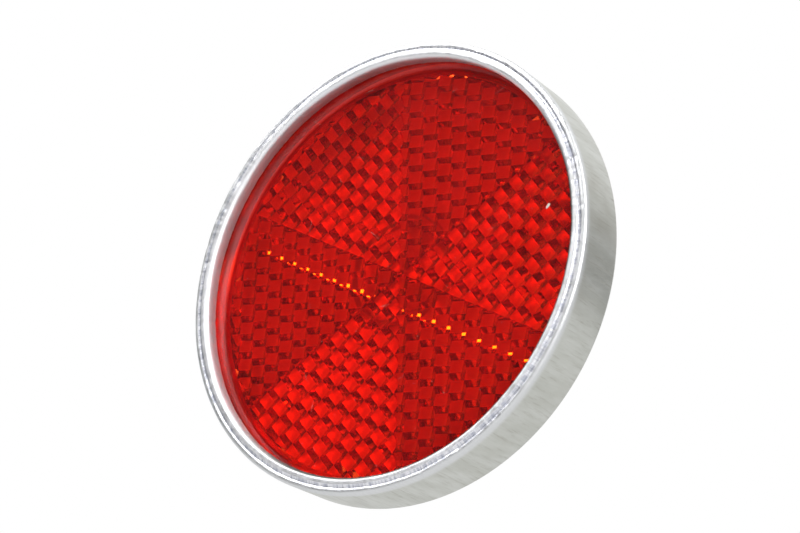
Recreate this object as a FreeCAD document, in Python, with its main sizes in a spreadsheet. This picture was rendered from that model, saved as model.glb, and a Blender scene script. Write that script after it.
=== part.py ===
import FreeCAD, Part
import math
import os

import Sketcher

# Round rear reflector: a pressed aluminium cup with a crimped lip, a red prism lens, and a fixing
# stud with its washers and nut. The lens faces -Y, the stud points along +Y and +Z is up. The
# origin is the centre of the cup's fixing boss, where the stud comes out.

os.makedirs("parts", exist_ok=True)
doc = FreeCAD.newDocument("reflector")
vector = FreeCAD.Vector
tau = 2.0 * math.pi
tolerance = 1e-4

# Driving dimensions, in millimetres and degrees
driving = [
    ("outer_diameter", 60.0, "cup over its wall"),
    ("cup_depth", 8.1, "rim seat to the crest of the lip"),
    ("sheet", 0.7, "thickness of the aluminium"),
    ("seat_corner", 0.8, "radius between wall and rim seat"),
    ("panel_step", 0.7, "how far the cup's middle stands back from the rim seat"),
    ("boss_diameter", 16.0, "flat fixing boss"),
    ("boss_height", 1.4, "boss above the raised middle"),
    ("press_draft", 0.4, "slope of the pressed steps, measured across"),
    ("lip_width", 2.2, "wall to the innermost point of the lip"),
    ("lip_ridge", 0.13, "how much lower the outer ridge is than the inner one"),
    ("outer_ridge_width", 0.65, "flat of the outer ridge before rounding"),
    ("groove_depth", 0.35, "groove that the crimping roller leaves"),
    ("groove_half", 0.2, "half the width of that groove"),
    ("outer_ridge_radius", 0.45, "rounding from the wall into the lip"),
    ("inner_ridge_radius", 0.55, "rounding of the lip's inner ridge"),
    ("lip_tuck", 0.2, "how far the lip's end slopes back outwards"),
    ("lip_end", 0.55, "thickness of the lip's end on the lens"),
    ("lens_recess", 2.15, "crest of the lip to the lens face"),
    ("lens_fit", 0.2, "gap between lens and wall"),
    ("lens_edge", 0.25, "chamfer round the lens face"),
    ("skirt_width", 1.5, "ring of the lens that stands on the rim seat"),
    ("field_gap", 0.6, "groove between skirt and prism field"),
    ("field_fit", 0.2, "prism field to the step of the cup's middle"),
    ("prism_pitch", 2.58, "across the flats of one hexagonal prism"),
    ("prism_web", 0.15, "plate left under the deepest valleys"),
    ("prism_shift_x", 0.34, "nearest prism to the hub, sideways"),
    ("prism_shift_z", 0.58, "nearest prism to the hub, upwards"),
    ("tip_clearance", 0.25, "prism tips to the cup"),
    ("pip_diameter", 0.6, "round pip at the hub, where the six sectors meet"),
    ("stud_diameter", 5.0, "M5"),
    ("stud_length", 16.0, "boss face to the stud's end"),
    ("stud_end_chamfer", 0.6, "lead on the stud's end"),
    ("head_diameter", 12.0, "flat head inside the boss"),
    ("head_thickness", 1.0, "flat head inside the boss"),
    ("neck_side", 5.6, "square neck that stops the stud turning"),
    ("neck_fit", 0.1, "gap round the square neck"),
    ("washer_diameter", 10.0, "plain washer"),
    ("washer_bore", 5.3, "plain washer"),
    ("washer_thickness", 1.0, "plain washer"),
    ("spring_diameter", 9.2, "spring washer"),
    ("spring_bore", 5.1, "spring washer"),
    ("spring_thickness", 1.2, "spring washer"),
    ("spring_split", 0.8, "width of the cut in the spring washer"),
    ("spring_slant", 25.0, "slope of that cut"),
    ("nut_flats", 8.0, "across the flats"),
    ("nut_height", 4.0, "hexagon nut"),
    ("nut_chamfer", 30.0, "angle of the bevel on the nut's corners"),
    ("nut_countersink", 0.35, "lead at the ends of the nut's thread"),
    ("thread_fit", 0.03, "gap between stud and nut"),
]

sheet = doc.addObject("Spreadsheet::Sheet", "sizes")
for row, (alias, value, note) in enumerate(driving, start=1):
    sheet.set("A%d" % row, alias)
    sheet.set("B%d" % row, str(value))
    sheet.set("C%d" % row, note)
    sheet.setAlias("B%d" % row, alias)
doc.recompute()


# A length that knows both its number and the formula it comes from
class Size:
    def __init__(self, value, text):
        self.value = value
        self.text = text

    def __add__(self, other):
        other = sized(other)
        return Size(self.value + other.value, "(%s + %s)" % (self.text, other.text))

    def __sub__(self, other):
        other = sized(other)
        return Size(self.value - other.value, "(%s - %s)" % (self.text, other.text))

    def __mul__(self, other):
        other = sized(other)
        return Size(self.value * other.value, "(%s * %s)" % (self.text, other.text))

    def __truediv__(self, divisor):
        return Size(self.value / divisor, "(%s / %r)" % (self.text, float(divisor)))

    def __neg__(self):
        return Size(-self.value, "(0 - %s)" % self.text)


def sized(thing):
    return thing if isinstance(thing, Size) else Size(float(thing), repr(float(thing)))


def size(alias):
    return Size(float(sheet.get(alias)), "sizes." + alias)


def tangent(angle):
    return Size(math.tan(math.radians(angle.value)), "tan(%s)" % angle.text)


def bind(thing, prop, amount):
    thing.setExpression(prop, amount.text)


# Bodies, sketches and features
def newBody(name):
    return doc.addObject("PartDesign::Body", name)


def originPlane(body, role):
    return next(item for item in body.Origin.OriginFeatures if item.Role == role)


def newSketch(body, name, role):
    sketch = body.newObject("Sketcher::SketchObject", name)
    sketch.AttachmentSupport = (originPlane(body, role), [""])
    sketch.MapMode = "FlatFace"
    return sketch


def holdPoint(sketch, geometry, corner, x, y, label):
    for axis, kind, amount in ((-2, "DistanceX", x), (-1, "DistanceY", y)):
        if amount.value == 0.0:
            sketch.addConstraint(Sketcher.Constraint("PointOnObject", geometry, corner, axis))
            continue
        index = sketch.addConstraint(
            Sketcher.Constraint(kind, -1, 1, geometry, corner, amount.value)
        )
        name = label + kind[-1].lower()
        sketch.renameConstraint(index, name)
        bind(sketch, "Constraints." + name, amount)


def drawOutline(sketch, corners):
    corners = [(sized(x), sized(y)) for x, y in corners]
    count = len(corners)
    lines = []
    for index in range(count):
        start = corners[index]
        end = corners[(index + 1) % count]
        line = Part.LineSegment(
            vector(start[0].value, start[1].value, 0.0), vector(end[0].value, end[1].value, 0.0)
        )
        lines.append(sketch.addGeometry(line))
    for index in range(count):
        following = lines[(index + 1) % count]
        sketch.addConstraint(Sketcher.Constraint("Coincident", lines[index], 2, following, 1))
        holdPoint(sketch, lines[index], 1, *corners[index], "p%d" % lines[index])


def polar(radius, angle):
    return (radius * math.cos(angle), radius * math.sin(angle))


# Turns an outline of radius and height round the object's own axis
def turned(body, name, corners):
    sketch = newSketch(body, name + "_profile", "XY_Plane")
    drawOutline(sketch, corners)
    feature = body.newObject("PartDesign::Revolution", name)
    feature.Profile = sketch
    feature.ReferenceAxis = (sketch, ["V_Axis"])
    feature.Angle = 360.0
    doc.recompute()


def ringEdges(shape, radius, height):
    found = []
    for index, edge in enumerate(shape.Edges, start=1):
        curve = edge.Curve
        if not isinstance(curve, Part.Circle):
            continue
        sameRadius = abs(curve.Radius - radius.value) < tolerance
        sameHeight = abs(curve.Center.y - height.value) < tolerance
        if sameRadius and sameHeight:
            found.append("Edge%d" % index)
    return found


def roundRing(body, name, ringRadius, height, radius):
    base = body.Tip
    fillet = body.newObject("PartDesign::Fillet", name)
    fillet.Base = (base, ringEdges(base.Shape, ringRadius, height))
    bind(fillet, "Radius", radius)
    doc.recompute()


# Levels along Y, from the boss face towards the front
sheetThickness = size("sheet")
outerRadius = size("outer_diameter") / 2
innerRadius = outerRadius - sheetThickness
panelLevel = -size("boss_height")
seatLevel = panelLevel - size("panel_step")
crestLevel = seatLevel - size("cup_depth")
lensFaceLevel = crestLevel + size("lens_recess")
seatInside = seatLevel - sheetThickness
panelInside = panelLevel - sheetThickness
bossInside = -sheetThickness
bossRadius = size("boss_diameter") / 2
draft = size("press_draft")
lensRadius = innerRadius - size("lens_fit")
skirtInner = lensRadius - size("skirt_width")
fieldRadius = skirtInner - size("field_gap")
panelRadius = fieldRadius + size("field_fit") + sheetThickness

# Cup: pressed boss, raised middle, rim seat and wall, then the lip rolled over the lens
outerRidgeLevel = crestLevel + size("lip_ridge")
grooveLevel = crestLevel + size("groove_depth")
ridgeInner = outerRadius - size("outer_ridge_width")
grooveRadius = ridgeInner - size("groove_half")
innerRidgeStart = grooveRadius - size("groove_half")
lipInner = outerRadius - size("lip_width")
lipEnd = lipInner + size("lip_tuck")
lipKnee = crestLevel + size("inner_ridge_radius") + sheetThickness / 2
lipHollow = crestLevel + sheetThickness + size("groove_depth")

cup = newBody("cup")
cup.Label = "shell"
turned(
    cup,
    "cup_pressing",
    [
        (0, 0),
        (bossRadius, 0),
        (bossRadius + draft, panelLevel),
        (panelRadius, panelLevel),
        (panelRadius + draft, seatLevel),
        (outerRadius, seatLevel),
        (outerRadius, outerRidgeLevel),
        (ridgeInner, outerRidgeLevel),
        (grooveRadius, grooveLevel),
        (innerRidgeStart, crestLevel),
        (lipInner, crestLevel),
        (lipInner, lipKnee),
        (lipEnd, lensFaceLevel),
        (lipEnd + size("lip_end"), lensFaceLevel),
        (lipInner + sheetThickness, lipKnee),
        (lipInner + sheetThickness, lipHollow),
        (innerRadius, lipHollow),
        (innerRadius, seatInside),
        (panelRadius + draft - sheetThickness, seatInside),
        (panelRadius - sheetThickness, panelInside),
        (bossRadius + draft - sheetThickness, panelInside),
        (bossRadius - sheetThickness, bossInside),
        (0, bossInside),
    ],
)
roundRing(cup, "seat_rounding", outerRadius, seatLevel, size("seat_corner"))
roundRing(cup, "outer_ridge_rounding", outerRadius, outerRidgeLevel, size("outer_ridge_radius"))
roundRing(cup, "inner_ridge_rounding", lipInner, crestLevel, size("inner_ridge_radius"))

neckHole = newSketch(cup, "neck_hole_outline", "XZ_Plane")
holeHalf = size("neck_side") / 2 + size("neck_fit")
drawOutline(
    neckHole,
    [(-holeHalf, -holeHalf), (holeHalf, -holeHalf), (holeHalf, holeHalf), (-holeHalf, holeHalf)],
)
neckPocket = cup.newObject("PartDesign::Pocket", "neck_hole")
neckPocket.Profile = neckHole
neckPocket.Type = "ThroughAll"
neckPocket.Midplane = True
doc.recompute()

# Lens: a plate with a skirt that stands on the rim seat, and prisms over the whole middle
tipLevel = panelInside - size("tip_clearance")
pitch = size("prism_pitch")
prismHeight = pitch * math.sqrt(2.0 / 3.0)
rootLevel = tipLevel - prismHeight - size("prism_web")
blockBase = rootLevel - size("prism_web")
edge = size("lens_edge")

plate = newBody("lens_plate")
turned(
    plate,
    "lens_moulding",
    [
        (0, lensFaceLevel),
        (lensRadius - edge, lensFaceLevel),
        (lensRadius, lensFaceLevel + edge),
        (lensRadius, seatInside),
        (skirtInner, seatInside),
        (skirtInner, rootLevel),
        (0, rootLevel),
    ],
)


sectorCount = 6
halfSector = tau / sectorCount / 2


# Prism field. Each prism is a hexagon whose end is the corner of a cube: three square faces that
# meet at a right angle, drawn here as rhombs between the tip and the hexagon's corners. Corners
# are alternately a third and two thirds of the way round the cube, so neighbours join edge to edge.
def cornerPoint(centre, step, turn, levels):
    angle = step * tau / 6
    reach = pitch.value / math.sqrt(3.0)
    level = levels[(step + turn) % 2]
    return vector(centre[0] + reach * math.cos(angle), level, centre[1] + reach * math.sin(angle))


def planarFace(points):
    return Part.Face(Part.makePolygon(points + [points[0]]))


def cellCentres(middle):
    column = pitch.value * math.sqrt(3.0) / 2
    reach = fieldRadius.value + pitch.value
    span = int(reach / column) + 2
    for i in range(-span, span + 1):
        for j in range(-span, span + 1):
            x = size("prism_shift_x").value + i * column
            z = size("prism_shift_z").value + (j + (i % 2) / 2) * pitch.value
            distance = math.hypot(x, z)
            turn = abs((math.atan2(z, x) - middle + math.pi) % tau - math.pi)
            outside = distance * math.sin(max(0.0, turn - halfSector))
            if distance < reach and outside < pitch.value:
                yield (x, z)


# One sector's prisms as a closed block. With turn 0 a valley of each cube lies towards -X, and
# with turn 1 towards +X, which is the same cube after half a turn.
def prismBlock(middle, turn):
    levels = (tipLevel.value - prismHeight.value / 2, tipLevel.value - prismHeight.value)
    base = blockBase.value
    faces = []
    borders = {}
    for centre in cellCentres(middle):
        tip = vector(centre[0], tipLevel.value, centre[1])
        ring = [cornerPoint(centre, step, turn, levels) for step in range(6)]
        for step in range(6):
            if (step + turn) % 2 == 1:
                faces.append(planarFace([tip, ring[step - 1], ring[step], ring[(step + 1) % 6]]))
            ends = (ring[step], ring[(step + 1) % 6])
            key = tuple(sorted((round(end.x, 4), round(end.z, 4)) for end in ends))
            if borders.pop(key, None) is None:
                borders[key] = ends
    floorEdges = []
    for first, second in borders.values():
        low = [vector(point.x, base, point.z) for point in (first, second)]
        faces.append(planarFace([first, second, low[1], low[0]]))
        floorEdges.append(Part.makeLine(low[0], low[1]))
    faces.append(Part.Face(Part.Wire(Part.sortEdges(floorEdges)[0])))
    shell = Part.makeShell(faces)
    shell.sewShape()
    return Part.makeSolid(shell)


lensParts = [plate]
for sector in range(sectorCount):
    middle = sector * tau / sectorCount
    block = doc.addObject("Part::Feature", "prism_block_%d" % (sector + 1))
    block.Shape = prismBlock(middle, sector % 2)
    wedge = doc.addObject("Part::Cylinder", "sector_%d" % (sector + 1))
    bind(wedge, "Radius", fieldRadius)
    bind(wedge, "Height", -rootLevel)
    wedge.Angle = 360.0 / sectorCount
    start = middle + halfSector
    along = vector(math.cos(start), 0, math.sin(start))
    across = vector(0, 1, 0).cross(along)
    turnedTo = FreeCAD.Rotation(along, across, vector(0, 1, 0), "ZXY")
    wedge.Placement = FreeCAD.Placement(vector(0, blockBase.value, 0), turnedTo)
    cut = doc.addObject("Part::Common", "prisms_%d" % (sector + 1))
    cut.Base = block
    cut.Tool = wedge
    lensParts.append(cut)
pip = doc.addObject("Part::Cylinder", "hub_pip")
bind(pip, "Radius", size("pip_diameter") / 2)
bind(pip, "Height", tipLevel - blockBase)
pip.Placement = FreeCAD.Placement(
    vector(0, blockBase.value, 0), FreeCAD.Rotation(vector(0, 0, 1), vector(0, 1, 0))
)
lensParts.append(pip)
lens = doc.addObject("Part::MultiFuse", "lens_whole")
lens.Shapes = lensParts
lens.Refine = False
lens.Label = "lens"
doc.recompute()

# Stud: flat head in the boss, square neck in the cup's hole, M5 shank
stud = newBody("stud_body")
stud.Label = "stud"
studRadius = size("stud_diameter") / 2
studEnd = size("stud_length")
lead = size("stud_end_chamfer")
headRadius = size("head_diameter") / 2
headLevel = bossInside - size("head_thickness")
turned(
    stud,
    "stud_turning",
    [
        (0, headLevel),
        (headRadius, headLevel),
        (headRadius, bossInside),
        (studRadius, bossInside),
        (studRadius, studEnd - lead),
        (studRadius - lead, studEnd),
        (0, studEnd),
    ],
)
neckOutline = newSketch(stud, "neck_outline", "XZ_Plane")
neckHalf = size("neck_side") / 2
drawOutline(
    neckOutline,
    [(-neckHalf, -neckHalf), (neckHalf, -neckHalf), (neckHalf, neckHalf), (-neckHalf, neckHalf)],
)
neck = stud.newObject("PartDesign::Pad", "neck")
neck.Profile = neckOutline
bind(neck, "Length", sheetThickness)
doc.recompute()


# Washers and nut, stacked on the boss face
def flatRing(name, label, diameter, bore, level, thickness):
    ring = newBody(name)
    ring.Label = label
    turned(
        ring,
        name + "_blank",
        [
            (bore / 2, level),
            (diameter / 2, level),
            (diameter / 2, level + thickness),
            (bore / 2, level + thickness),
        ],
    )
    return ring


washerTop = size("washer_thickness")
springTop = washerTop + size("spring_thickness")
nutTop = springTop + size("nut_height")
washer = flatRing(
    "washer", "plain_washer", size("washer_diameter"), size("washer_bore"), sized(0), washerTop
)
spring = flatRing(
    "spring",
    "spring_washer",
    size("spring_diameter"),
    size("spring_bore"),
    washerTop,
    size("spring_thickness"),
)

# The spring washer's slanted cut, through its lower side
splitOutline = newSketch(spring, "split_outline", "YZ_Plane")
splitHalf = size("spring_split") / 2
splitPast = size("spring_split")
splitLean = (size("spring_thickness") / 2 + splitPast) * tangent(size("spring_slant"))
drawOutline(
    splitOutline,
    [
        (washerTop - splitPast, -splitLean - splitHalf),
        (washerTop - splitPast, splitHalf - splitLean),
        (springTop + splitPast, splitHalf + splitLean),
        (springTop + splitPast, splitLean - splitHalf),
    ],
)
split = spring.newObject("PartDesign::Pocket", "split")
split.Profile = splitOutline
split.Type = "Length"
split.Reversed = True
bind(split, "Length", size("spring_diameter"))
doc.recompute()

nut = newBody("nut")
boreRadius = studRadius + size("thread_fit")
flatRadius = size("nut_flats") / 2
cornerRadius = size("nut_flats") / math.sqrt(3.0)
bevel = (cornerRadius - flatRadius) * tangent(size("nut_chamfer"))
sink = size("nut_countersink")
turned(
    nut,
    "nut_blank",
    [
        (boreRadius + sink, springTop),
        (flatRadius, springTop),
        (cornerRadius, springTop + bevel),
        (cornerRadius, nutTop - bevel),
        (flatRadius, nutTop),
        (boreRadius + sink, nutTop),
        (boreRadius, nutTop - sink),
        (boreRadius, springTop + sink),
    ],
)
hexagon = newSketch(nut, "hexagon_outline", "XZ_Plane")
outsideRadius = cornerRadius + flatRadius
drawOutline(hexagon, [polar(cornerRadius, step * tau / 6) for step in range(6)])
drawOutline(hexagon, [polar(outsideRadius, step * tau / 6) for step in range(6)])
flats = nut.newObject("PartDesign::Pocket", "flats")
flats.Profile = hexagon
flats.Type = "ThroughAll"
flats.Midplane = True
doc.recompute()

# Every object has to be sound before anything is written
pieces = [cup, lens, stud, washer, spring, nut]
for item in doc.Objects:
    if "Invalid" in item.State or "Error" in item.State:
        raise RuntimeError(item.Name + " failed to build")
for piece in pieces:
    if piece.Shape.isNull() or not piece.Shape.isValid():
        raise RuntimeError(piece.Label + " has no valid shape")
for piece in pieces:
    piece.Shape.exportStep("parts/%s.step" % piece.Label)
    print(piece.Label, round(piece.Shape.Volume, 1), "mm3", len(piece.Shape.Solids), "solid")
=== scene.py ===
import math
import random

import bpy
from mathutils import Matrix, Vector, noise


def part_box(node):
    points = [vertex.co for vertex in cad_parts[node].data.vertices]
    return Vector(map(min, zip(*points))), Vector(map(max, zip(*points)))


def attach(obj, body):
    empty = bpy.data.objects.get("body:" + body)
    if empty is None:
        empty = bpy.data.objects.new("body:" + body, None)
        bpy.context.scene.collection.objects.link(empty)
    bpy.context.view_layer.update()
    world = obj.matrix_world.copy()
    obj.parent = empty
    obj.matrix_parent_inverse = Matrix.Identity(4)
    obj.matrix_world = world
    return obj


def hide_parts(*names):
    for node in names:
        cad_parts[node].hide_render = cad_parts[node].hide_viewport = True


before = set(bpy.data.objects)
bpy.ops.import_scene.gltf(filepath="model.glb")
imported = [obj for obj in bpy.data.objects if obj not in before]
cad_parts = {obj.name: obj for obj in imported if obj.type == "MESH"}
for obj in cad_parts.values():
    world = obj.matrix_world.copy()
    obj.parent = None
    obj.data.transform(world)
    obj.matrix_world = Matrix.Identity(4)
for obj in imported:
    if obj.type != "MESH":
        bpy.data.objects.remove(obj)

# Round rear reflector. The lens faces -Y, the stud points along +Y, +Z is up, lengths in metres.

scene = bpy.context.scene
scene.view_settings.view_transform = "Standard"
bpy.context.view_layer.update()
mm = 0.001
fullTurn = 2.0 * math.pi

shellLow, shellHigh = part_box("shell")
studLow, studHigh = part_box("stud")
outerRadius = shellHigh.x
crestLevel = shellLow.y
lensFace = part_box("lens")[0].y
print("frame loaded, cup", round(2 * outerRadius / mm, 1), "mm across")


# Meshes

def newPiece(name, points, faces, material, smooth=True):
    mesh = bpy.data.meshes.new(name)
    mesh.from_pydata(points, [], faces)
    mesh.update()
    for polygon in mesh.polygons:
        polygon.use_smooth = smooth
    mesh.materials.append(material)
    piece = bpy.data.objects.new(name, mesh)
    scene.collection.objects.link(piece)
    return piece


# A closed ring of profiles: each step round the axis has the same number of points
def ringMesh(profiles):
    steps = len(profiles)
    count = len(profiles[0])
    points = [point for profile in profiles for point in profile]
    faces = []
    for step in range(steps):
        following = (step + 1) % steps
        for index in range(count):
            beside = (index + 1) % count
            faces.append(
                (
                    step * count + index,
                    step * count + beside,
                    following * count + beside,
                    following * count + index,
                )
            )
    return points, faces


# Rounds the corners of a closed outline. Each corner is (radius, level, rounding, arc steps)
def roundedOutline(corners):
    outline = []
    count = len(corners)
    for index, (x, y, rounding, arcSteps) in enumerate(corners):
        here = Vector((x, y))
        before = Vector(corners[index - 1][:2])
        after = Vector(corners[(index + 1) % count][:2])
        toBefore = (before - here).normalized()
        toAfter = (after - here).normalized()
        half = toBefore.angle(toAfter) / 2
        if rounding <= 0.0 or half > math.radians(88):
            outline.append((x, y))
            continue
        reach = rounding / math.tan(half)
        centre = here + (toBefore + toAfter).normalized() * (rounding / math.sin(half))
        start = here + toBefore * reach - centre
        end = here + toAfter * reach - centre
        turn = start.angle_signed(end)
        for step in range(arcSteps + 1):
            spoke = Matrix.Rotation(-turn * step / arcSteps, 2) @ start
            outline.append((centre.x + spoke.x, centre.y + spoke.y))
    return outline


# Splits long straight stretches, so that waves and dents have points to move
def refined(outline, longest):
    points = []
    count = len(outline)
    for index, (x, y) in enumerate(outline):
        nextX, nextY = outline[(index + 1) % count]
        pieces = max(1, math.ceil(math.hypot(nextX - x, nextY - y) / longest))
        for part in range(pieces):
            share = part / pieces
            points.append((x + (nextX - x) * share, y + (nextY - y) * share))
    return points


# Eases from 0 at low to 1 at high
def easeBetween(value, low, high):
    share = min(1.0, max(0.0, (value - low) / (high - low)))
    return share * share * (3.0 - 2.0 * share)


# Materials

class Nodes:
    def __init__(self, tree):
        self.tree = tree

    def add(self, kind, **settings):
        node = self.tree.nodes.new(kind)
        for name, value in settings.items():
            setattr(node, name, value)
        return node

    def link(self, source, target):
        self.tree.links.new(source, target)

    def feed(self, target, value):
        if isinstance(value, bpy.types.NodeSocket):
            self.link(value, target)
        else:
            target.default_value = value

    def maths(self, operation, first, second=0.0):
        node = self.add("ShaderNodeMath", operation=operation)
        self.feed(node.inputs[0], first)
        self.feed(node.inputs[1], second)
        return node.outputs[0]

    def ramp(self, value, low, high, lowOut=0.0, highOut=1.0):
        node = self.add("ShaderNodeMapRange", interpolation_type="SMOOTHSTEP")
        for index, amount in enumerate((value, low, high, lowOut, highOut)):
            self.feed(node.inputs[index], amount)
        return node.outputs[0]

    def mixed(self, share, first, second):
        node = self.add("ShaderNodeMix", data_type="RGBA")
        self.feed(node.inputs[0], share)
        self.feed(node.inputs[6], first)
        self.feed(node.inputs[7], second)
        return node.outputs[2]

    def blend(self, share, first, second):
        node = self.add("ShaderNodeMix", data_type="FLOAT")
        self.feed(node.inputs[0], share)
        self.feed(node.inputs[2], first)
        self.feed(node.inputs[3], second)
        return node.outputs[0]

    def vector(self, x, y, z):
        node = self.add("ShaderNodeCombineXYZ")
        for index, value in enumerate((x, y, z)):
            self.feed(node.inputs[index], value)
        return node.outputs[0]

    def noise(self, place, scale, detail=2.0, roughness=0.5):
        node = self.add("ShaderNodeTexNoise")
        self.link(place, node.inputs["Vector"])
        for name, value in (("Scale", scale), ("Detail", detail), ("Roughness", roughness)):
            node.inputs[name].default_value = value
        return node.outputs["Fac"]

    def bump(self, height, distance, strength=1.0, normal=None):
        node = self.add("ShaderNodeBump")
        node.inputs["Distance"].default_value = distance
        self.feed(node.inputs["Strength"], strength)
        self.link(height, node.inputs["Height"])
        if normal is not None:
            self.link(normal, node.inputs["Normal"])
        return node.outputs[0]


def grey(value, warmth=0.0):
    return (value, value, value * (1.0 - warmth), 1.0)


def newMaterial(name):
    material = bpy.data.materials.new(name)
    material.use_nodes = True
    nodes = Nodes(material.node_tree)
    shader = material.node_tree.nodes["Principled BSDF"]
    return material, nodes, shader


# Distance from the axis, the way round it as a point on a circle, and depth along it
def roundPlace(nodes):
    place = nodes.add("ShaderNodeTexCoord").outputs["Object"]
    split = nodes.add("ShaderNodeSeparateXYZ")
    nodes.link(place, split.inputs[0])
    x, y, z = split.outputs
    squares = nodes.maths("ADD", nodes.maths("MULTIPLY", x, x), nodes.maths("MULTIPLY", z, z))
    radius = nodes.maths("SQRT", squares)
    across = nodes.maths("DIVIDE", x, radius)
    up = nodes.maths("DIVIDE", z, radius)
    return place, radius, (across, up), y


# Noise drawn out along the axis or across the lip: fine the way round, coarse the other way
def streaks(nodes, way, depth, fine, along, detail=2.0, roughness=0.6, lean=0.0):
    across, up = way
    tilt = nodes.maths("MULTIPLY", depth, lean)
    place = nodes.vector(
        nodes.maths("ADD", nodes.maths("MULTIPLY", across, fine), tilt),
        nodes.maths("MULTIPLY", depth, along),
        nodes.maths("MULTIPLY", up, fine),
    )
    return nodes.noise(place, 1.0, detail, roughness)


print("tools ready")

# Red acrylic: dyed clear plastic with a little haze, most of it on the flat face

redAcrylic = {
    "ior": 1.49,
    "dye": (1.0, 0.12, 0.02, 1.0),
    "passed": (1.0, 0.40, 0.20, 1.0),  # colour of the light left after a way through the plastic
    "density": 100.0,
    "haze": (0.92, 0.006, 0.008, 1.0),
    "hazeRoughness": 0.3,
    "hazeShare": (0.05, 0.11),
    "hazeInside": 0.03,
    "hazePatches": {"scale": 160.0, "detail": 4.0, "roughness": 0.65},
    "patchRange": (0.3, 0.7),
    "faceEdge": (0.1 * mm, 0.3 * mm),  # depths behind the face where its haze ends
}


def makeRedAcrylic():
    look = redAcrylic
    material, nodes, shader = newMaterial("red_acrylic")
    shader.inputs["Base Color"].default_value = look["dye"]
    shader.inputs["Roughness"].default_value = 0.0
    shader.inputs["IOR"].default_value = look["ior"]
    shader.inputs["Transmission Weight"].default_value = 1.0
    haze = nodes.add("ShaderNodeBsdfPrincipled")
    haze.inputs["Base Color"].default_value = look["haze"]
    haze.inputs["Roughness"].default_value = look["hazeRoughness"]
    haze.inputs["IOR"].default_value = look["ior"]
    place = nodes.add("ShaderNodeTexCoord").outputs["Object"]
    split = nodes.add("ShaderNodeSeparateXYZ")
    nodes.link(place, split.inputs[0])
    near, far = look["faceEdge"]
    onFace = nodes.ramp(split.outputs[1], lensFace + near, lensFace + far, 1.0, 0.0)
    patches = nodes.noise(place, **look["hazePatches"])
    faceHaze = nodes.ramp(patches, *look["patchRange"], *look["hazeShare"])
    surface = nodes.add("ShaderNodeMixShader")
    nodes.link(nodes.blend(onFace, look["hazeInside"], faceHaze), surface.inputs[0])
    nodes.link(shader.outputs[0], surface.inputs[1])
    nodes.link(haze.outputs[0], surface.inputs[2])
    volume = nodes.add("ShaderNodeVolumeAbsorption")
    volume.inputs["Color"].default_value = look["passed"]
    volume.inputs["Density"].default_value = look["density"]
    output = material.node_tree.nodes["Material Output"]
    nodes.link(surface.outputs[0], output.inputs["Surface"])
    nodes.link(volume.outputs[0], output.inputs["Volume"])
    return material


# Aluminium of the cup. An edge is (from, to) in from the rim, a range is (noise from, noise to),
# and a wear is a range and then the (least, most) that it adds

aluminium = {
    "blotches": {"scale": 95.0, "detail": 3.0, "roughness": 0.55},
    "turning": {"scale": 2600.0, "detail": 3.0, "roughness": 0.7},
    "brushing": {"fine": 95.0, "along": 200.0, "detail": 4.0, "roughness": 0.75, "lean": 140.0},
    "drawing": {"fine": 17.0, "along": 110.0, "detail": 3.0, "roughness": 0.65, "lean": -60.0},
    "rolling": {"fine": 64.0, "along": 20.0, "detail": 3.0, "roughness": 0.7},
    "crimping": {"fine": 75.0, "along": 120.0, "detail": 2.0, "roughness": 0.6},
    "roughRange": (0.3, 0.7),
    "wall": {
        "start": 1.1 * mm,
        "blend": (0.6 * mm, 0.3 * mm),
        "edge": (0.45 * mm, 0.2 * mm),
        "dull": (0.53, 0.54, 0.50, 1.0),
        "clean": (0.63, 0.64, 0.61, 1.0),
        "cleanRange": (0.3, 0.8),
        "stain": (0.37, 0.355, 0.31, 1.0),
        "blotchWear": (0.5, 0.8, 0.0, 0.65),
        "brushWear": (0.52, 0.75, 0.0, 0.6),
        "roughness": (0.32, 0.46),
        "relief": 0.009 * mm,
    },
    "lip": {
        "blend": 0.1 * mm,
        "bright": (0.92, 0.92, 0.95, 1.0),
        "rubbed": grey(0.72, 0.02),
        "rubbedRange": (0.45, 0.8),
        "shoulder": (0.70, 0.71, 0.72, 1.0),
        "shoulderEdge": (0.75 * mm, 0.4 * mm),
        "slopeEdge": (2.0 * mm, 1.65 * mm),
        # The inner slope gets painted shade: near black low down and to the right, light grey elsewhere
        "unshadedSlope": (0.90, 0.90, 0.92, 1.0),
        "paintedShadeSlope": (0.10, 0.10, 0.09, 1.0),
        "paintedShadeWay": (0.6, -0.8),  # along X and Z: down and to the right
        "paintedShadeRange": (-0.1, 0.5),
        # The valley between the ridges gets painted shade, a darker bluish grey broken into dashes by noise
        "valley": (0.42, 0.44, 0.52, 1.0),
        "valleyMiddle": 0.95 * mm,
        "valleyHalf": (0.18 * mm, 0.42 * mm),
        "valleyDashes": (0.32, 0.7, 0.1, 1.0),
        "roughness": (0.36, 0.52),
        "slopeRoughness": 0.6,
        "relief": 0.006 * mm,
    },
    "back": {
        "facing": (-0.1, 0.1),
        "pressed": (0.76, 0.76, 0.75, 1.0),
        "worn": (0.62, 0.62, 0.60, 1.0),
        "blotchWear": (0.4, 0.8, 0.0, 0.7),
        "turnedWear": (0.45, 0.75, 0.0, 0.4),
        "roughness": (0.3, 0.48),
        "relief": 0.004 * mm,
    },
    "inside": {
        "plain": (0.83, 0.83, 0.82, 1.0),
        "worn": (0.62, 0.62, 0.60, 1.0),
        "blotchWear": (0.5, 0.9, 0.0, 0.2),
        "roughness": 0.5,
    },
}


# A mask that changes between two distances in from the rim
def fromRim(nodes, radius, edge, first=0.0, last=1.0):
    return nodes.ramp(radius, outerRadius - edge[0], outerRadius - edge[1], first, last)


def wallColour(nodes, blotches, drawn, brushed):
    look = aluminium["wall"]
    colour = nodes.mixed(nodes.ramp(drawn, *look["cleanRange"]), look["dull"], look["clean"])
    colour = nodes.mixed(nodes.ramp(blotches, *look["blotchWear"]), colour, look["stain"])
    return nodes.mixed(nodes.ramp(brushed, *look["brushWear"]), colour, look["stain"])
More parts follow.
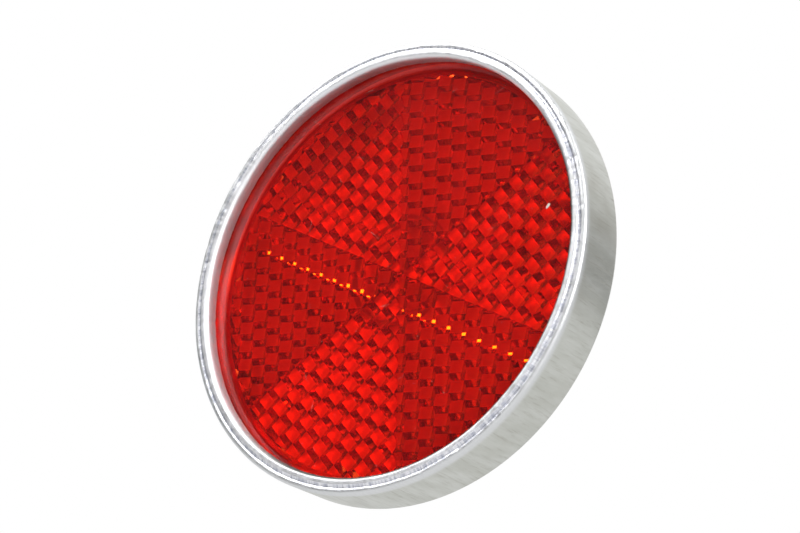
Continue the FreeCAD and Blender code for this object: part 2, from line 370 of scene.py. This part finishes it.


# Bright ridges, painted shade in the valley between them, a dim shoulder, and painted shade on the slope
# low down and to the right
def lipColour(nodes, radius, way, blotches, rolled, onSlope):
    look = aluminium["lip"]
    # Painted shade on the slope, darkest low down and to the right
    lowX, lowZ = (nodes.maths("MULTIPLY", part, share) for part, share in zip(way, look["paintedShadeWay"]))
    paintedSlopeShade = nodes.ramp(nodes.maths("ADD", lowX, lowZ), *look["paintedShadeRange"])
    slope = nodes.mixed(paintedSlopeShade, look["unshadedSlope"], look["paintedShadeSlope"])
    colour = nodes.mixed(nodes.ramp(blotches, *look["rubbedRange"]), look["bright"], look["rubbed"])
    colour = nodes.mixed(onSlope, colour, slope)
    colour = nodes.mixed(fromRim(nodes, radius, look["shoulderEdge"]), colour, look["shoulder"])
    # Painted shade in the groove between the ridges, in dashes
    offMiddle = nodes.maths("SUBTRACT", radius, outerRadius - look["valleyMiddle"])
    inValley = nodes.ramp(nodes.maths("ABSOLUTE", offMiddle), *look["valleyHalf"], 1.0, 0.0)
    valley = nodes.maths("MULTIPLY", inValley, nodes.ramp(rolled, *look["valleyDashes"]))
    return nodes.mixed(valley, colour, look["valley"])


def backColour(nodes, blotches, turned):
    look = aluminium["back"]
    colour = nodes.mixed(nodes.ramp(blotches, *look["blotchWear"]), look["pressed"], look["worn"])
    return nodes.mixed(nodes.ramp(turned, *look["turnedWear"]), colour, look["worn"])


def insideColour(nodes, blotches):
    look = aluminium["inside"]
    return nodes.mixed(nodes.ramp(blotches, *look["blotchWear"]), look["plain"], look["worn"])


def makeAluminium():
    wall, lip, back, inside = (aluminium[area] for area in ("wall", "lip", "back", "inside"))
    roughRange = aluminium["roughRange"]
    material, nodes, shader = newMaterial("drawn_aluminium")
    place, radius, way, depth = roundPlace(nodes)
    blotches = nodes.noise(place, **aluminium["blotches"])
    turned = nodes.noise(nodes.vector(radius, 0.0, 0.0), **aluminium["turning"])
    kinds = ("brushing", "drawing", "rolling", "crimping")
    brushed, drawn, rolled, crimped = (streaks(nodes, way, depth, **aluminium[kind]) for kind in kinds)

    outside = fromRim(nodes, radius, wall["edge"])
    wallStart = crestLevel + wall["start"]
    behindLip = nodes.ramp(depth, wallStart - wall["blend"][0], wallStart + wall["blend"][1])
    onWall = nodes.maths("MULTIPLY", outside, behindLip)
    onLip = nodes.ramp(depth, lensFace - lip["blend"], lensFace + lip["blend"], 1.0, 0.0)
    onSlope = fromRim(nodes, radius, lip["slopeEdge"], 1.0, 0.0)
    normal = nodes.add("ShaderNodeSeparateXYZ")
    nodes.link(nodes.add("ShaderNodeTexCoord").outputs["Normal"], normal.inputs[0])
    onBack = nodes.ramp(normal.outputs[1], *back["facing"])

    sheet = nodes.mixed(onBack, insideColour(nodes, blotches), backColour(nodes, blotches, turned))
    sheet = nodes.mixed(onLip, sheet, lipColour(nodes, radius, way, blotches, rolled, onSlope))
    colour = nodes.mixed(onWall, sheet, wallColour(nodes, blotches, drawn, brushed))
    nodes.link(colour, shader.inputs["Base Color"])
    shader.inputs["Metallic"].default_value = 1.0

    wallRough = nodes.ramp(brushed, *roughRange, *wall["roughness"])
    backRough = nodes.ramp(turned, *roughRange, *back["roughness"])
    lipRough = nodes.ramp(crimped, *roughRange, *lip["roughness"])
    lipRough = nodes.blend(onSlope, lipRough, lip["slopeRoughness"])
    rough = nodes.blend(onLip, nodes.blend(onBack, inside["roughness"], backRough), lipRough)
    nodes.link(nodes.blend(onWall, rough, wallRough), shader.inputs["Roughness"])

    notTurned = nodes.maths("MAXIMUM", nodes.maths("SUBTRACT", 1.0, onBack), outside)
    onlyLip = nodes.maths("MULTIPLY", onLip, nodes.maths("SUBTRACT", 1.0, onWall))
    marks = nodes.bump(turned, back["relief"], nodes.maths("SUBTRACT", 1.0, notTurned))
    marks = nodes.bump(brushed, wall["relief"], onWall, marks)
    marks = nodes.bump(crimped, lip["relief"], onlyLip, marks)
    nodes.link(marks, shader.inputs["Normal"])
    return material


# Zinc plating of the stud, the nut and both washers, and the marks that all four share

plating = {
    "stud_plating": {
        "colour": (0.62, 0.62, 0.60, 1.0),
        "worn": (0.50, 0.48, 0.43, 1.0),
        "roughness": (0.28, 0.5),
        "relief": 0.004 * mm,
    },
    "nut_plating": {
        "colour": (0.66, 0.66, 0.63, 1.0),
        "worn": (0.52, 0.50, 0.44, 1.0),
        "roughness": (0.25, 0.48),
        "relief": 0.006 * mm,
    },
    "washer_plating": {
        "colour": (0.68, 0.68, 0.66, 1.0),
        "worn": (0.55, 0.53, 0.47, 1.0),
        "roughness": (0.30, 0.52),
        "relief": 0.004 * mm,
    },
    "spring_plating": {
        "colour": (0.52, 0.52, 0.51, 1.0),
        "worn": (0.40, 0.38, 0.34, 1.0),
        "roughness": (0.30, 0.5),
        "relief": 0.004 * mm,
    },
}

platingMarks = {
    "clouds": {"scale": 420.0, "detail": 3.0, "roughness": 0.6},
    "grain": {"scale": 5200.0, "detail": 2.0, "roughness": 0.6},
    "wornRange": (0.42, 0.72),
    "roughRange": (0.3, 0.75),
}


def makePlating(name):
    look = plating[name]
    material, nodes, shader = newMaterial(name)
    place = nodes.add("ShaderNodeTexCoord").outputs["Object"]
    clouds = nodes.noise(place, **platingMarks["clouds"])
    grain = nodes.noise(place, **platingMarks["grain"])
    colour = nodes.mixed(nodes.ramp(clouds, *platingMarks["wornRange"]), look["colour"], look["worn"])
    rough = nodes.ramp(clouds, *platingMarks["roughRange"], *look["roughness"])
    shader.inputs["Metallic"].default_value = 1.0
    nodes.link(colour, shader.inputs["Base Color"])
    nodes.link(rough, shader.inputs["Roughness"])
    nodes.link(nodes.bump(grain, look["relief"]), shader.inputs["Normal"])
    return material


def dress(node, material):
    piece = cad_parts[node]
    piece.data.materials.clear()
    piece.data.materials.append(material)


cupMaterial = makeAluminium()
dress("lens", makeRedAcrylic())
dress("plain_washer", makePlating("washer_plating"))
dress("spring_washer", makePlating("spring_plating"))
dress("nut", makePlating("nut_plating"))
print("materials ready")

# Cup: one sheet of aluminium, pressed, drawn and rolled over the lens

cupShape = {
    "sheet": 0.7 * mm,
    "panelStep": 0.7 * mm,
    "bossHeight": 1.4 * mm,
    "bossRadius": 8.0 * mm,
    "draft": 0.4 * mm,
    "panelRadius": 27.9 * mm,
    "seatCorner": 0.8 * mm,
    "pressBend": 0.5 * mm,
    "lipWidth": 2.2 * mm,
    "ridgeDrop": 0.13 * mm,
    "outerRidge": 0.65 * mm,
    "grooveDepth": 0.27 * mm,
    "grooveHalf": 0.3 * mm,
    "outerRounding": 0.45 * mm,
    "innerRounding": 0.6 * mm,
    "grooveRounding": 0.26 * mm,
    "lipTuck": 0.2 * mm,
    "lipEnd": 0.55 * mm,
    "seatGap": 0.03 * mm,
    "neckHole": 2.9 * mm,
    "longest": 3.0 * mm,
    "stepsRound": 1080,
}

# Waves and dents of the lip. A wave is its height and then (share, fineness, seed) for each part of it,
# and an edge is (from, to) in from the rim

lipWaves = {
    "sway": (0.10 * mm, (0.7, 2.0, 1.0), (0.5, 7.0, 2.0)),
    "ragged": (0.05 * mm, (1.0, 34.0, 3.0), (0.7, 95.0, 4.0)),
    "rise": (0.05 * mm, (1.0, 3.0, 5.0), (0.6, 12.0, 6.0)),
    "groove": (0.10 * mm, (1.0, 5.0, 7.0), (0.5, 20.0, 8.0)),
    "swell": (0.05 * mm, (1.0, 2.5, 9.0), (0.6, 11.0, 10.0)),
    "topDepth": (0.5 * mm, 1.4 * mm),
    "innerEdge": (2.0 * mm, 1.3 * mm),
    "lensMargin": 0.01 * mm,
    "raggedOnTop": 0.35,
    "grooveMiddle": 0.85 * mm,
    "grooveReach": 0.35 * mm,
    "swellEdge": 0.2 * mm,
    "swellShare": -0.5,
    "nicks": 90,
    "nickDepth": (0.015 * mm, 0.05 * mm),
    "nickWidth": (0.25 * mm, 0.7 * mm),
    "nickEdge": (1.4 * mm, -0.1 * mm),
    "nickReach": 0.45 * mm,
}


def cupOutline():
    shape = cupShape
    sheet = shape["sheet"]
    panel = -shape["bossHeight"]
    seat = panel - shape["panelStep"]
    boss = shape["bossRadius"]
    draft = shape["draft"]
    panelEdge = shape["panelRadius"]
    inner = outerRadius - sheet
    ridgeLevel = crestLevel + shape["ridgeDrop"]
    grooveLevel = crestLevel + shape["grooveDepth"]
    ridgeInner = outerRadius - shape["outerRidge"]
    groove = ridgeInner - shape["grooveHalf"]
    innerRidge = groove - shape["grooveHalf"]
    lipInner = outerRadius - shape["lipWidth"]
    lipEnd = lipInner + shape["lipTuck"]
    knee = crestLevel + shape["innerRounding"] + sheet / 2
    hollow = crestLevel + sheet + shape["grooveDepth"]
    endLevel = lensFace - shape["seatGap"]
    seatInside = seat - sheet + shape["seatGap"]
    bend = shape["pressBend"]
    small = shape["grooveRounding"]
    corners = [
        (shape["neckHole"], 0.0, 0.0, 1),
        (boss, 0.0, bend, 4),
        (boss + draft, panel, bend, 4),
        (panelEdge, panel, bend, 4),
        (panelEdge + draft, seat, 0.0, 1),
        (outerRadius, seat, shape["seatCorner"], 5),
        (outerRadius, ridgeLevel, shape["outerRounding"], 7),
        (ridgeInner, ridgeLevel, small, 3),
        (groove, grooveLevel, small, 3),
        (innerRidge, crestLevel, small, 3),
        (lipInner, crestLevel, shape["innerRounding"], 8),
        (lipInner, knee, 0.0, 1),
        (lipEnd, endLevel, 0.0, 1),
        (lipEnd + shape["lipEnd"], endLevel, 0.0, 1),
        (lipInner + sheet, knee, 0.0, 1),
        (lipInner + sheet, hollow, 0.0, 1),
        (inner, hollow, 0.0, 1),
        (inner, seatInside, 0.0, 1),
        (panelEdge + draft - sheet, seatInside, 0.0, 1),
        (panelEdge - sheet, panel - sheet, bend / 2, 2),
        (boss + draft - sheet, panel - sheet, bend / 2, 2),
        (boss - sheet, -sheet, bend / 2, 2),
        (shape["neckHole"], -sheet, 0.0, 1),
    ]
    return refined(roundedOutline(corners), shape["longest"])


# Noise that closes on itself round the rim
def roundNoise(angle, rate, seed):
    return noise.noise(Vector((math.cos(angle) * rate, math.sin(angle) * rate, seed)))


def waveHeight(name, angle):
    height, *parts = lipWaves[name]
    return height * sum(share * roundNoise(angle, rate, seed) for share, rate, seed in parts)


# Each nick is (angle, depth, half its width as an angle, radius)
def makeNicks():
    maker = random.Random(7)
    near, far = lipWaves["nickEdge"]
    nicks = []
    for _ in range(lipWaves["nicks"]):
        nicks.append(
            (
                maker.uniform(0.0, fullTurn),
                maker.uniform(*lipWaves["nickDepth"]),
                maker.uniform(*lipWaves["nickWidth"]) / outerRadius,
                maker.uniform(outerRadius - near, outerRadius - far),
            )
        )
    return nicks


def turnBetween(first, second):
    return abs((first - second + math.pi) % fullTurn - math.pi)


# Moves one point of the outline in or out and up or down, by the waves, the groove and the nicks
def crimpedPoint(radius, level, angle, waves, nicks):
    sway, ragged, rise, dip, swell = waves
    look = lipWaves
    middle = outerRadius - look["grooveMiddle"]
    top = 1.0 - easeBetween(level, crestLevel + look["topDepth"][0], crestLevel + look["topDepth"][1])
    innerFrom, innerTo = look["innerEdge"]
    inner = 1.0 - easeBetween(radius, outerRadius - innerFrom, outerRadius - innerTo)
    lip = 1.0 if level < lensFace + look["lensMargin"] else 0.0
    ragged *= look["raggedOnTop"] + (1.0 - look["raggedOnTop"]) * (1.0 - top)
    shift = inner * lip * (sway + ragged)
    outer = easeBetween(radius, middle, outerRadius - look["swellEdge"])
    shift += top * (1.0 - inner) * swell * outer * look["swellShare"]
    valley = math.exp(-(((radius - middle) / look["grooveReach"]) ** 2))
    drop = top * rise + top * valley * dip
    for start, depth, width, centre in nicks:
        turn = turnBetween(angle, start) / width
        side = (radius - centre) / look["nickReach"]
        drop += top * depth * math.exp(-turn * turn * 2.0 - side * side)
    return min(radius + shift, outerRadius), max(level + drop, crestLevel)


def makeCup():
    outline = cupOutline()
    steps = cupShape["stepsRound"]
    nicks = makeNicks()
    profiles = []
    for step in range(steps):
        angle = step * fullTurn / steps
        across = Vector((math.cos(angle), 0.0, math.sin(angle)))
        waves = [waveHeight(name, angle) for name in ("sway", "ragged", "rise", "groove", "swell")]
        near = [nick for nick in nicks if turnBetween(angle, nick[0]) < 2 * nick[2]]
        profile = []
        for radius, level in outline:
            radius, level = crimpedPoint(radius, level, angle, waves, near)
            profile.append(across * radius + Vector((0.0, level, 0.0)))
        profiles.append(profile)
    points, faces = ringMesh(profiles)
    return newPiece("crimped_cup", points, faces, cupMaterial)


cup = makeCup()
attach(cup, "root")
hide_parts("shell")
print("cup made,", len(cup.data.polygons), "faces")

# Stud: flat round head, square neck and a rolled thread with a pointed start

studShape = {
    "headRadius": 6.0 * mm,
    "headHeight": 1.0 * mm,
    "headEdge": 0.2 * mm,
    "headMiddle": 0.5,
    "edgeShare": 0.3,
    "neckHalf": 2.75 * mm,
    "neckCorner": 1.3,
    "neckEnd": 0.0,
    "coreRadius": 2.06 * mm,
    "threadRadius": 2.46 * mm,
    "pitch": 0.8 * mm,
    "flat": 0.16,
    "start": 0.9 * mm,
    "startSlope": 0.7,
    "rowStep": 0.07 * mm,
    "stepsRound": 72,
}


def threadRadius(angle, level):
    shape = studShape
    share = (level / shape["pitch"] - angle / fullTurn) % 1.0
    flank = (0.5 - abs(share - 0.5)) * 2.0
    rise = min(1.0, max(0.0, (flank - shape["flat"]) / (1.0 - 2.0 * shape["flat"])))
    radius = shape["coreRadius"] + (shape["threadRadius"] - shape["coreRadius"]) * rise
    inStart = max(0.0, level - (studHigh.y - shape["start"]))
    room = shape["threadRadius"] - inStart * shape["startSlope"]
    return min(radius, room)


def makeStud():
    shape = studShape
    steps = shape["stepsRound"]
    top = studLow.y
    under = top + shape["headHeight"]
    head = shape["headRadius"]
    edge = shape["headEdge"]
    bevel = edge * shape["edgeShare"]
    rows = [
        (top, head * shape["headMiddle"]),
        (top, head - edge),
        (top + bevel, head - bevel),
        (top + edge, head),
        (under - bevel, head),
        (under, head - bevel),
    ]
    rings = [[(level, radius) for _ in range(steps)] for level, radius in rows]
    neck = []
    for step in range(steps):
        angle = step * fullTurn / steps
        reach = shape["neckHalf"] / max(abs(math.cos(angle)), abs(math.sin(angle)))
        neck.append(min(reach, shape["neckHalf"] * shape["neckCorner"]))
    rings.append([(under, radius) for radius in neck])
    rings.append([(shape["neckEnd"], radius) for radius in neck])
    level = shape["neckEnd"]
    while level < studHigh.y:
        rings.append([(level, threadRadius(step * fullTurn / steps, level)) for step in range(steps)])
        level += shape["rowStep"]
    rings.append([(studHigh.y, threadRadius(step * fullTurn / steps, studHigh.y)) for step in range(steps)])
    points = [Vector((0.0, top, 0.0))]
    for ring in rings:
        for step, (level, radius) in enumerate(ring):
            angle = step * fullTurn / steps
            points.append(Vector((math.cos(angle) * radius, level, math.sin(angle) * radius)))
    points.append(Vector((0.0, studHigh.y, 0.0)))
    last = len(points) - 1
    faces = []
    for step in range(steps):
        following = (step + 1) % steps
        faces.append((0, 1 + step, 1 + following))
        faces.append((last, last - steps + following, last - steps + step))
        for row in range(len(rings) - 1):
            here = 1 + row * steps
            faces.append((here + step, here + steps + step, here + steps + following, here + following))
    return newPiece("threaded_stud", points, faces, makePlating("stud_plating"))


stud = makeStud()
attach(stud, "root")
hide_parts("stud")
print("stud made,", len(stud.data.polygons), "faces")

# Dust and hair-fine scratches on the lens, with one larger pale speck near its right edge

dust = {
    "specks": 60,
    "speckSize": (0.04 * mm, 0.11 * mm),
    "speckCorners": 9,
    "speckSquash": (0.45, 1.0),
    "speckReach": (0.6, 1.1),
    "speckHeight": 0.25,
    "paleSpeck": (23.6 * mm, 2.7 * mm, 0.42 * mm),
    "scratches": 18,
    "scratchLength": (0.5 * mm, 2.4 * mm),
    "scratchWidth": 0.012 * mm,
    "scratchBend": 0.5,
    "scratchTaper": 0.05,
    "scratchPieces": 8,
    "spread": 27.0 * mm,
    "lift": 0.004 * mm,
    "dark": (0.42, 0.33, 0.28, 1.0),
    "pale": (0.75, 0.70, 0.64, 1.0),
    "tone": {"scale": 1500.0, "detail": 2.0},
    "roughness": 0.9,
}


def makeDustMaterial():
    material, nodes, shader = newMaterial("pale_dust")
    place = nodes.add("ShaderNodeTexCoord").outputs["Object"]
    colour = nodes.mixed(nodes.noise(place, **dust["tone"]), dust["dark"], dust["pale"])
    nodes.link(colour, shader.inputs["Base Color"])
    shader.inputs["Roughness"].default_value = dust["roughness"]
    return material


def dustPlace(maker):
    angle = maker.uniform(0.0, fullTurn)
    reach = dust["spread"] * math.sqrt(maker.random())
    return math.cos(angle) * reach, math.sin(angle) * reach


# A low cone with an uneven, squashed outline
def addSpeck(maker, points, faces, level, x, z, size):
    first = len(points)
    corners = dust["speckCorners"]
    squash = maker.uniform(*dust["speckSquash"])
    lean = maker.uniform(0.0, math.pi)
    points.append(Vector((x, level - size * dust["speckHeight"], z)))
    for corner in range(corners):
        angle = corner * fullTurn / corners
        reach = size * maker.uniform(*dust["speckReach"])
        u = math.cos(angle) * reach
        v = math.sin(angle) * reach * squash
        pointX = x + u * math.cos(lean) - v * math.sin(lean)
        pointZ = z + u * math.sin(lean) + v * math.cos(lean)
        points.append(Vector((pointX, level, pointZ)))
        faces.append((first, first + 1 + corner, first + 1 + (corner + 1) % corners))


# A bent strip that runs out to a point at both ends
def addScratch(maker, points, faces, level):
    x, z = dustPlace(maker)
    angle = maker.uniform(0.0, fullTurn)
    length = maker.uniform(*dust["scratchLength"])
    bend = maker.uniform(-dust["scratchBend"], dust["scratchBend"])
    first = len(points)
    pieces = dust["scratchPieces"]
    taper = dust["scratchTaper"]
    for step in range(pieces + 1):
        share = step / pieces
        way = angle + bend * share
        alongTaper = taper + (1.0 - 2.0 * taper) * share
        half = dust["scratchWidth"] * math.sin(math.pi * alongTaper) / 2
        middleX = x + math.cos(way) * length * share
        middleZ = z + math.sin(way) * length * share
        sideX, sideZ = -math.sin(way) * half, math.cos(way) * half
        points.append(Vector((middleX - sideX, level, middleZ - sideZ)))
        points.append(Vector((middleX + sideX, level, middleZ + sideZ)))
    for corner in range(first, first + 2 * pieces, 2):
        faces.append((corner, corner + 2, corner + 3, corner + 1))


def makeDust():
    maker = random.Random(23)
    level = lensFace - dust["lift"]
    points = []
    faces = []
    for _ in range(dust["specks"]):
        x, z = dustPlace(maker)
        addSpeck(maker, points, faces, level, x, z, maker.uniform(*dust["speckSize"]) * 0.5)
    addSpeck(maker, points, faces, level, *dust["paleSpeck"])
    for _ in range(dust["scratches"]):
        addScratch(maker, points, faces, level)
    return newPiece("lens_dust", points, faces, makeDustMaterial(), smooth=False)


lensDust = makeDust()
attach(lensDust, "root")
print("dust made")

# Floor: pale, and seen only from above, because the reflector is looked at from below its middle

floorLook = {
    "size": 4.0,
    "colour": 0.88,
    "roughness": 0.8,
    "mirrored": 0.95,
}


def makeFloor():
    half = floorLook["size"] / 2
    level = shellLow.z
    material, nodes, shader = newMaterial("pale_floor")
    shader.inputs["Base Color"].default_value = grey(floorLook["colour"])
    shader.inputs["Roughness"].default_value = floorLook["roughness"]
    glow = nodes.add("ShaderNodeEmission")
    glow.inputs["Color"].default_value = grey(floorLook["mirrored"])
    rays = nodes.add("ShaderNodeLightPath").outputs
    polished = nodes.maths("MAXIMUM", rays["Is Glossy Ray"], rays["Is Transmission Ray"])
    top = nodes.add("ShaderNodeMixShader")
    nodes.link(polished, top.inputs[0])
    nodes.link(shader.outputs[0], top.inputs[1])
    nodes.link(glow.outputs[0], top.inputs[2])
    clear = nodes.add("ShaderNodeBsdfTransparent")
    side = nodes.add("ShaderNodeMixShader")
    nodes.link(nodes.add("ShaderNodeNewGeometry").outputs["Backfacing"], side.inputs[0])
    nodes.link(top.outputs[0], side.inputs[1])
    nodes.link(clear.outputs[0], side.inputs[2])
    nodes.link(side.outputs[0], material.node_tree.nodes["Material Output"].inputs["Surface"])
    corners = [(-half, -half, level), (half, -half, level), (half, half, level), (-half, half, level)]
    return newPiece("floor", corners, [(0, 1, 2, 3)], material, smooth=False)


makeFloor()

# Surroundings: white behind the reflector, and in front of it a dim room with soft boxes and dark cards.
# Each is (angle from the lens's normal, turn from +X towards +Z, full within, gone beyond, brightness)

surroundings = {
    "paper": 1.0,
    "paperStart": (78.0, 88.0),
    "room": 0.24,
    "boxes": (
        (0.0, 0.0, 4.0, 19.0, 0.9),
        (65.0, 351.0, 15.0, 33.0, 7.8),
        (60.0, 111.0, 12.0, 26.0, 7.8),
        (67.0, 30.0, 10.0, 22.0, 7.8),
        (42.0, 5.0, 5.0, 18.0, 7.4),
        (36.0, 232.0, 12.0, 26.0, 6.2),
        (43.0, 281.0, 14.0, 30.0, 0.10),
        (52.0, 191.0, 12.0, 27.0, 0.10),
        (49.0, 34.0, 11.0, 19.0, 0.12),
        (43.0, 153.0, 14.0, 25.0, 0.10),
    ),
    "shade": (139.0, -12.0, 14.0, 44.0, 0.32),
}


# A direction given by its angle from the lens's normal and its turn from +X towards +Z
def heading(polar, turn):
    polar = math.radians(polar)
    turn = math.radians(turn)
    return Vector((math.sin(polar) * math.cos(turn), -math.cos(polar), math.sin(polar) * math.sin(turn)))


def makeWorld():
    world = bpy.data.worlds.new("studio")
    scene.world = world
    world.use_nodes = True
    nodes = Nodes(world.node_tree)
    view = nodes.add("ShaderNodeTexCoord").outputs["Generated"]

    def near(direction, inside, outside):
        dot = nodes.add("ShaderNodeVectorMath", operation="DOT_PRODUCT")
        nodes.link(view, dot.inputs[0])
        dot.inputs[1].default_value = direction
        return nodes.ramp(
            dot.outputs["Value"], math.cos(math.radians(outside)), math.cos(math.radians(inside))
        )

    colour = grey(surroundings["room"])
    for polar, turn, inside, outside, level in surroundings["boxes"]:
        colour = nodes.mixed(near(heading(polar, turn), inside, outside), colour, grey(level))
    start, full = surroundings["paperStart"]
    behind = near(Vector((0.0, 1.0, 0.0)), 180.0 - full, 180.0 - start)
    polar, turn, inside, outside, level = surroundings["shade"]
    shade = near(heading(polar, turn), inside, outside)
    paper = nodes.mixed(shade, grey(surroundings["paper"]), grey(level))
    colour = nodes.mixed(behind, colour, paper)
    camera = nodes.add("ShaderNodeLightPath").outputs["Is Camera Ray"]
    colour = nodes.mixed(camera, colour, grey(1.0))
    background = world.node_tree.nodes["Background"]
    nodes.link(colour, background.inputs["Color"])
    background.inputs["Strength"].default_value = 1.0


makeWorld()
print("surroundings ready")

# A thin curved tube lamp high on the right, whose glints make the row of bright dots in the prisms.
# Each part is (along, aside, length, width)

tubeLamp = {
    "place": Vector((0.2553, -0.3486, 0.2624)),
    "axis": Vector((-0.8562, -0.3592, 0.3714)),
    "colour": (0.145, 1.0, 0.9),
    "radiance": 290.0,
    "parts": (
        (-13.0, -2.6, 1.2, 1.1),
        (-11.8, -2.05, 1.2, 1.2),
        (-10.6, -1.55, 1.2, 1.15),
        (-9.4, -1.1, 1.2, 1.1),
        (-8.1, -0.65, 1.3, 1.15),
        (-6.8, -0.35, 1.3, 1.15),
        (-5.5, 0.2, 1.3, 1.4),
        (-4.0, 0.65, 1.6, 1.7),
        (0.1, 0.35, 1.4, 0.8),
        (2.1, 1.05, 1.8, 1.3),
        (3.9, 0.9, 1.8, 1.35),
        (5.7, 0.6, 1.8, 1.5),
        (7.6, 0.4, 1.9, 1.5),
        (9.6, 0.0, 2.0, 1.5),
        (11.6, -0.5, 2.0, 1.5),
        (13.8, -1.0, 2.2, 1.3),
        (16.0, -1.75, 2.2, 1.3),
    ),
}


def makeTubeLamp():
    outward = tubeLamp["place"].normalized()
    across = tubeLamp["axis"].normalized()
    across = (across - outward * across.dot(outward)).normalized()
    aside = outward.cross(across)
    litPieces = bpy.data.collections.new("lit_by_tube")
    litPieces.objects.link(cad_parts["lens"])
    for index, (along, off, length, width) in enumerate(tubeLamp["parts"], 1):
        light = bpy.data.lights.new("tube_lamp_%d" % index, "AREA")
        light.shape = "RECTANGLE"
        light.size = length * mm
        light.size_y = width * mm
        light.color = tubeLamp["colour"]
        light.energy = tubeLamp["radiance"] * math.pi * light.size * light.size_y
        lamp = bpy.data.objects.new("tube_lamp_%d" % index, light)
        scene.collection.objects.link(lamp)
        turned = Matrix((across, aside, outward)).transposed().to_4x4()
        turned.translation = tubeLamp["place"] + across * (along * mm) + aside * (off * mm)
        lamp.matrix_world = turned
        lamp.light_linking.receiver_collection = litPieces


makeTubeLamp()

# Camera: below and to the right of the lens, close to it

cameraView = {
    "place": Vector((0.1354, -0.1957, -0.0961)),
    "azimuth": 35.408,
    "elevation": -22.556,
    "roll": 1.378,
    "lens": 89.37,
    "sensor": 36.0,
    "nearest": 0.001,
}


def makeCamera():
    data = bpy.data.cameras.new("camera")
    data.sensor_width = cameraView["sensor"]
    data.lens = cameraView["lens"]
    data.clip_start = cameraView["nearest"]
    camera = bpy.data.objects.new("camera", data)
    scene.collection.objects.link(camera)
    azimuth = math.radians(cameraView["azimuth"])
    elevation = math.radians(cameraView["elevation"])
    back = Vector(
        (
            math.sin(azimuth) * math.cos(elevation),
            -math.cos(azimuth) * math.cos(elevation),
            math.sin(elevation),
        )
    )
    camera.rotation_mode = "QUATERNION"
    aim = (-back).to_track_quat("-Z", "Y")
    roll = Matrix.Rotation(math.radians(cameraView["roll"]), 3, "Z").to_quaternion()
    camera.rotation_quaternion = aim @ roll
    camera.location = cameraView["place"]
    scene.camera = camera


makeCamera()
print("camera and lamps ready")
